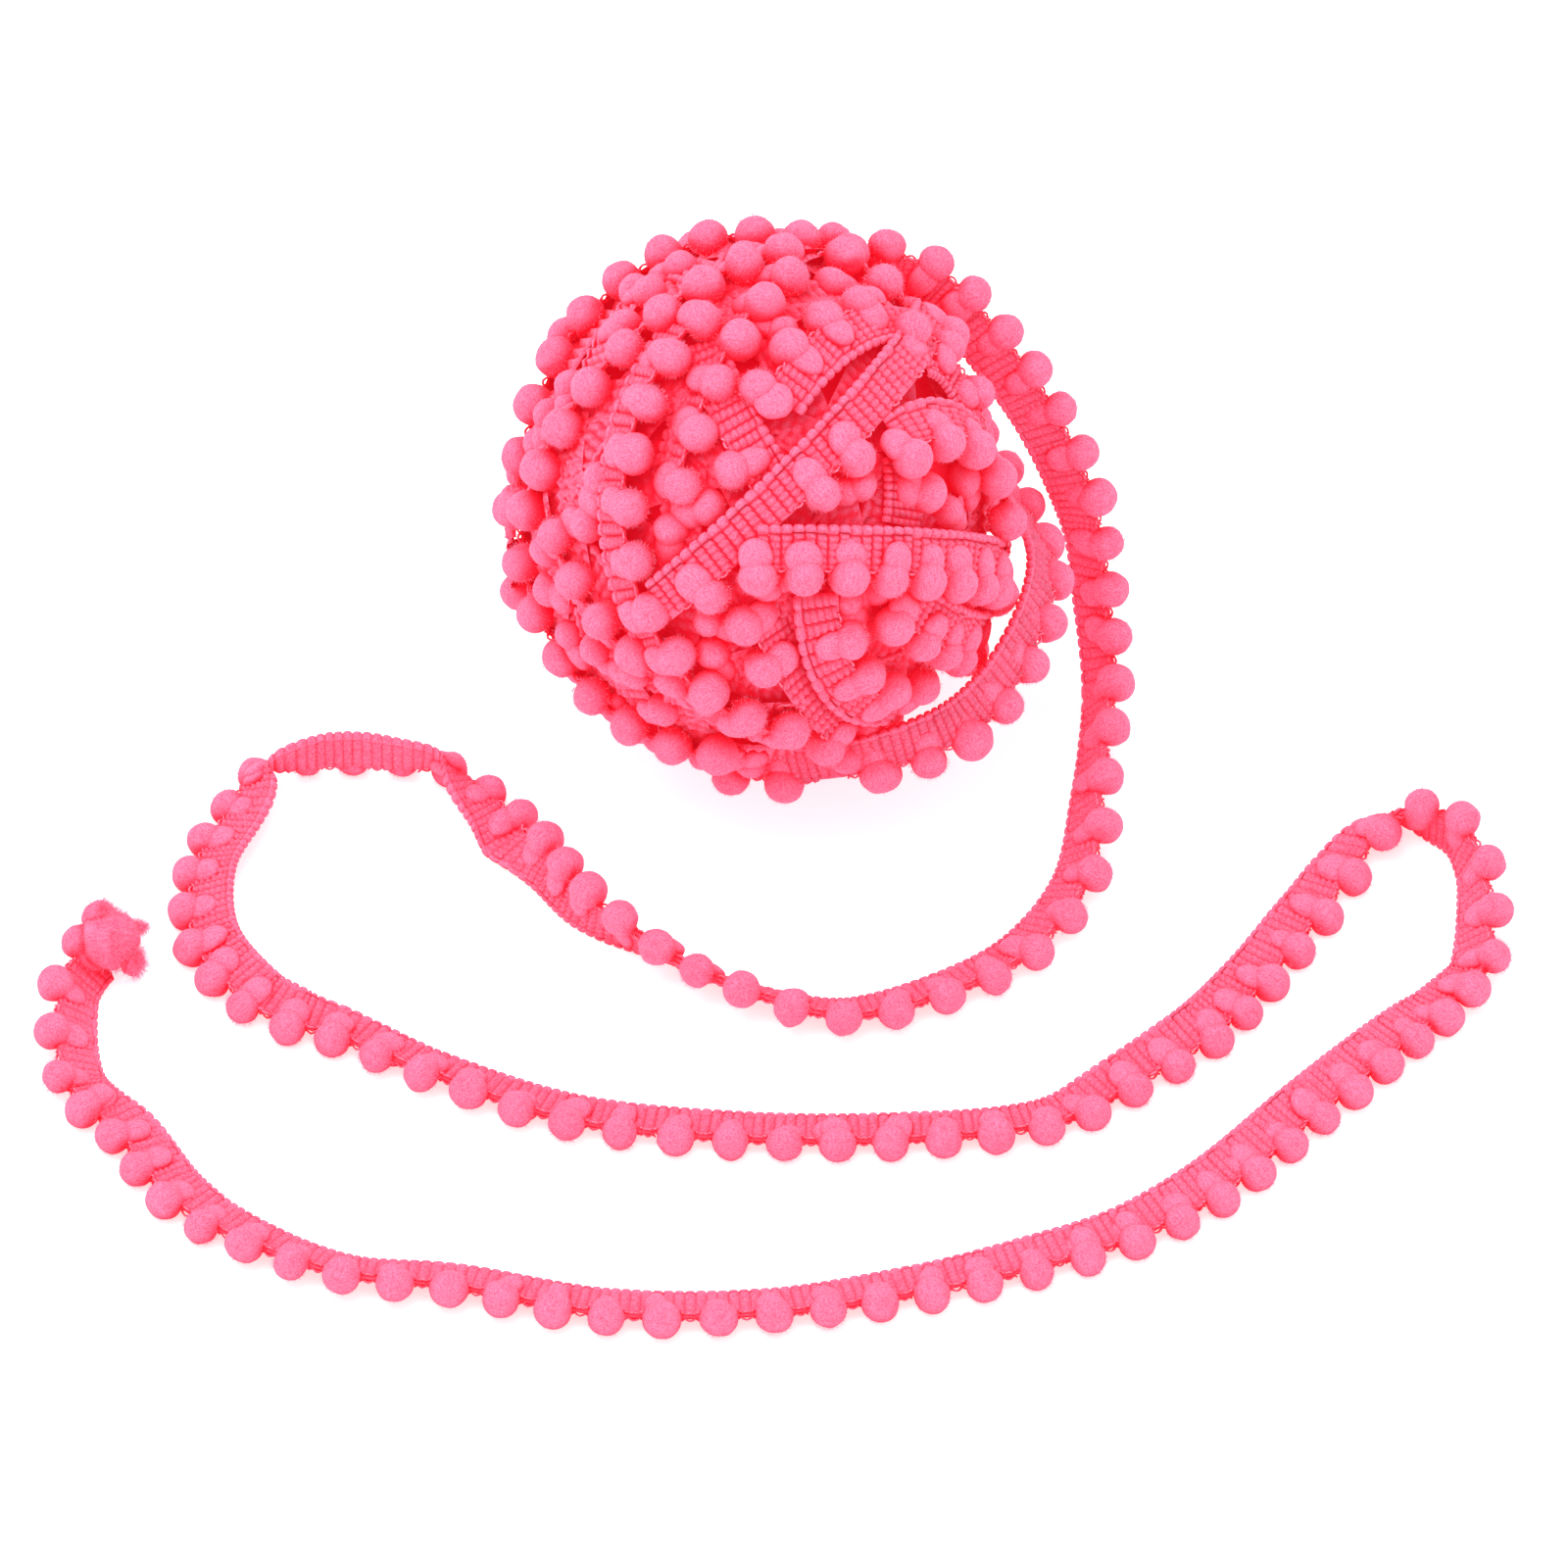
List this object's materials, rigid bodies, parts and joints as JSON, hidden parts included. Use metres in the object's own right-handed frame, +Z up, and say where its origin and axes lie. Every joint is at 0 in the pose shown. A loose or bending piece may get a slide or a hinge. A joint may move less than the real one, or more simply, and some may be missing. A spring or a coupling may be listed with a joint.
{
  "type": "pompom fringe trim",
  "caption": "Narrow knitted tape with a row of small round pompoms along one edge, wound into a ball, its loose end laid out in an S in front.",
  "frame": {"origin": "centre of the small flat spot that the ball rests on", "axes": "+Z up, +X along the S of the loose end, the loose end lies in front of the ball towards -Y"},
  "size_m": [0.2492, 0.1941, 0.0967],
  "materials": {
    "ball_yarn": "soft brushed yarn",
    "heading_tape": "matt knitted yarn",
    "pompom_yarn": "soft short pile"
  },
  "bodies": {
    "root": {"wound_ball": "ball_yarn", "tail_tape": "heading_tape", "tail_pompoms_01": "pompom_yarn", "tail_pompoms_02": "pompom_yarn", "tail_pompoms_03": "pompom_yarn", "tail_pompoms_04": "pompom_yarn", "tail_pompoms_05": "pompom_yarn", "tail_pompoms_06": "pompom_yarn", "tail_pompoms_07": "pompom_yarn", "tail_pompoms_08": "pompom_yarn", "tail_pompoms_09": "pompom_yarn", "tail_pompoms_10": "pompom_yarn", "tail_pompoms_11": "pompom_yarn", "tail_pompoms_12": "pompom_yarn", "tail_pompoms_13": "pompom_yarn", "tail_pompoms_14": "pompom_yarn", "tail_pompoms_15": "pompom_yarn", "cut_end_tuft": "pompom_yarn"}
  },
  "joints": []
}
